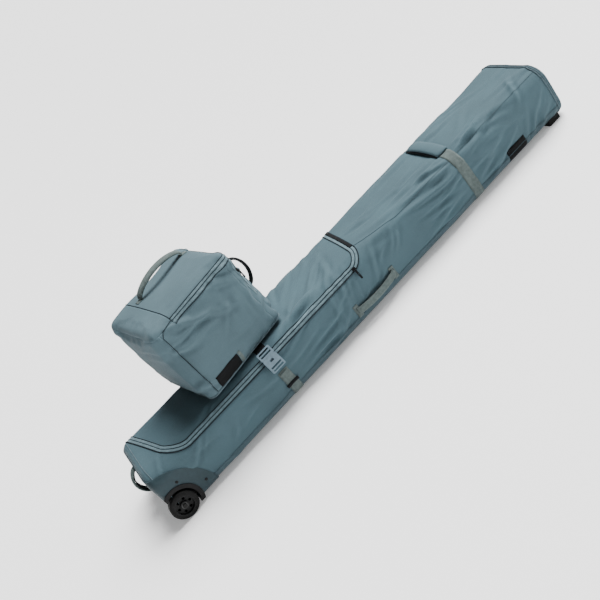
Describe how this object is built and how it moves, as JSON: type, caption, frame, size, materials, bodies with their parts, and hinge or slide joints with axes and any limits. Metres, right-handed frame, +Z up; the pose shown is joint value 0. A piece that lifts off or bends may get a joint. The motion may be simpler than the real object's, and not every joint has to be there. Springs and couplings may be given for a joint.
{
  "type": "ski bag",
  "caption": "Long wheeled ski bag with a zipped lid, carry handles and compression straps, and a boot bag strapped on top.",
  "frame": {"origin": "under the middle of the whole object's box, on the floor", "axes": "+X along the bag from the wheels to the head end, +Y away from the carry handle's side, +Z up out of the lid"},
  "size_m": [1.9654, 0.439, 0.5789],
  "materials": {
    "shell_fabric": "woven polyester, slate blue",
    "base_fabric": "coated fabric, slate blue",
    "boot_fabric": "woven polyester, slate blue",
    "zip_tape": "woven tape with a coil zip",
    "webbing": "grey webbing",
    "black_webbing": "black webbing",
    "piping": "corded edge binding",
    "housing_plastic": "moulded, fine grain",
    "buckle_plastic": "satin moulded plastic",
    "black_plastic": "matt black plastic",
    "board_plastic": "sheet plastic",
    "tyre": "matt black urethane",
    "bearing_steel": "steel",
    "axle_steel": "blackened steel",
    "bumper_rubber": "black rubber",
    "patch_black": "black coated fabric"
  },
  "bodies": {
    "ski_bag": {"base_panel": "base_fabric", "foot_end_panel": "shell_fabric", "head_end_panel": "shell_fabric", "near_side_panel": "shell_fabric", "far_side_panel": "shell_fabric", "foot_top_panel": "shell_fabric", "head_top_panel": "shell_fabric", "shell_zip_tape": "zip_tape", "wheel_housing": "housing_plastic", "housing_rivets": "black_plastic", "head_bumpers": "bumper_rubber", "base_board": "board_plastic", "inner_ties": "black_webbing", "foot_strap": "webbing", "strap_keeper": "webbing", "head_strap": "webbing", "side_handle_tabs": "webbing", "foot_handle_tabs": "webbing", "side_patch": "patch_black", "arch_liner_near": "black_plastic", "arch_liner_far": "black_plastic", "axle_near": "axle_steel", "axle_far": "axle_steel"},
    "lid": {"lid_panel": "shell_fabric", "lid_zip_tape": "zip_tape", "lid_strap": "webbing", "buckle_plug": "buckle_plastic"},
    "wheel_near": {"tyre_near": "tyre", "hub_near": "black_plastic", "bearings_near": "bearing_steel"},
    "wheel_far": {"tyre_far": "tyre", "hub_far": "black_plastic", "bearings_far": "bearing_steel"},
    "buckle_socket": {"buckle_socket": "buckle_plastic"},
    "head_handle": {"head_handle": "webbing"},
    "side_handle": {"side_handle": "webbing"},
    "foot_handle": {"foot_handle": "webbing"},
    "main_slider": {"main_zip_slider": "black_plastic"},
    "main_pull": {"main_zip_pull": "black_webbing"},
    "boot_bag": {"boot_back_panel": "boot_fabric", "boot_foot_panel": "boot_fabric", "boot_head_panel": "boot_fabric", "boot_near_panel": "boot_fabric", "boot_far_panel": "boot_fabric", "boot_front_panel": "boot_fabric", "boot_piping": "piping", "boot_zip_tape": "zip_tape", "boot_patch": "patch_black", "drain_grommet": "black_plastic"},
    "boot_flap": {"boot_flap": "boot_fabric", "flap_zip_tape": "zip_tape", "boot_handle_tabs": "webbing"},
    "boot_handle": {"boot_handle": "webbing"},
    "boot_haul_loop": {"boot_haul_loop": "black_webbing"},
    "boot_top_loop": {"boot_top_loop": "black_webbing"},
    "boot_slider": {"boot_zip_slider": "black_plastic"},
    "boot_pull": {"boot_zip_pull": "black_webbing"}
  },
  "joints": [
    {"name": "lid_open", "type": "hinge", "parent": "ski_bag", "child": "lid", "pos_m": [-0.44425, 0.13725, 0.15], "axis": [-1, 0, 0], "range_deg": [0, 90]},
    {"name": "wheel_near_spin", "type": "hinge", "parent": "ski_bag", "child": "wheel_near", "pos_m": [-0.90025, -0.20475, 0.05], "axis": [0, 1, 0], "continuous": true},
    {"name": "wheel_far_spin", "type": "hinge", "parent": "ski_bag", "child": "wheel_far", "pos_m": [-0.90025, 0.14925, 0.05], "axis": [0, 1, 0], "continuous": true},
    {"name": "buckle_release", "type": "slide", "parent": "ski_bag", "child": "buckle_socket", "axis": [0, -0.4695, -0.8829], "range_m": [0, 0.012]},
    {"name": "head_handle_tilt", "type": "hinge", "parent": "ski_bag", "child": "head_handle", "pos_m": [0.55775, -0.02774, 0.2123], "axis": [0, 1, 0], "range_deg": [0, 80]},
    {"name": "side_handle_swing", "type": "hinge", "parent": "ski_bag", "child": "side_handle", "pos_m": [0.02775, -0.19304, 0.084], "axis": [-1, 0, 0], "range_deg": [0, 90]},
    {"name": "foot_handle_swing", "type": "hinge", "parent": "ski_bag", "child": "foot_handle", "pos_m": [-0.93705, 0.01625, 0.113], "axis": [0, 0, -1], "range_deg": [0, 70]},
    {"name": "main_zip_slide", "type": "slide", "parent": "ski_bag", "child": "main_slider", "axis": [-1, 0, 0], "range_m": [0, 0.345]},
    {"name": "main_pull_swing", "type": "hinge", "parent": "main_slider", "child": "main_pull", "pos_m": [0.02075, -0.19136, 0.18235], "axis": [-1, 0, 0], "range_deg": [0, 95]},
    {"name": "boot_bag_lift", "type": "slide", "parent": "lid", "child": "boot_bag", "axis": [0, 0, 1], "range_m": [0, 0.3]},
    {"name": "boot_flap_open", "type": "hinge", "parent": "boot_bag", "child": "boot_flap", "pos_m": [-0.54166, 0.00339, 0.5293], "axis": [0.1874, -0.9823, 0], "range_deg": [0, 110]},
    {"name": "boot_handle_fold", "type": "hinge", "parent": "boot_flap", "child": "boot_handle", "pos_m": [-0.42745, 0.10916, 0.5296], "axis": [-0.9823, -0.1874, 0], "range_deg": [0, 80]},
    {"name": "boot_haul_swing", "type": "hinge", "parent": "boot_bag", "child": "boot_haul_loop", "pos_m": [-0.25178, -0.07366, 0.4153], "axis": [0, 0, -1], "range_deg": [0, 70]},
    {"name": "boot_top_loop_swing", "type": "hinge", "parent": "boot_bag", "child": "boot_top_loop", "pos_m": [-0.26865, 0.01475, 0.4943], "axis": [0.1874, -0.9823, 0], "range_deg": [0, 50]},
    {"name": "boot_zip_slide", "type": "slide", "parent": "boot_bag", "child": "boot_slider", "axis": [0, 0, 1], "range_m": [-0.12, 0.04]},
    {"name": "boot_pull_swing", "type": "hinge", "parent": "boot_slider", "child": "boot_pull", "pos_m": [-0.24877, -0.1123, 0.4483], "axis": [-0.5621, -0.8271, 0], "range_deg": [0, 95]}
  ]
}
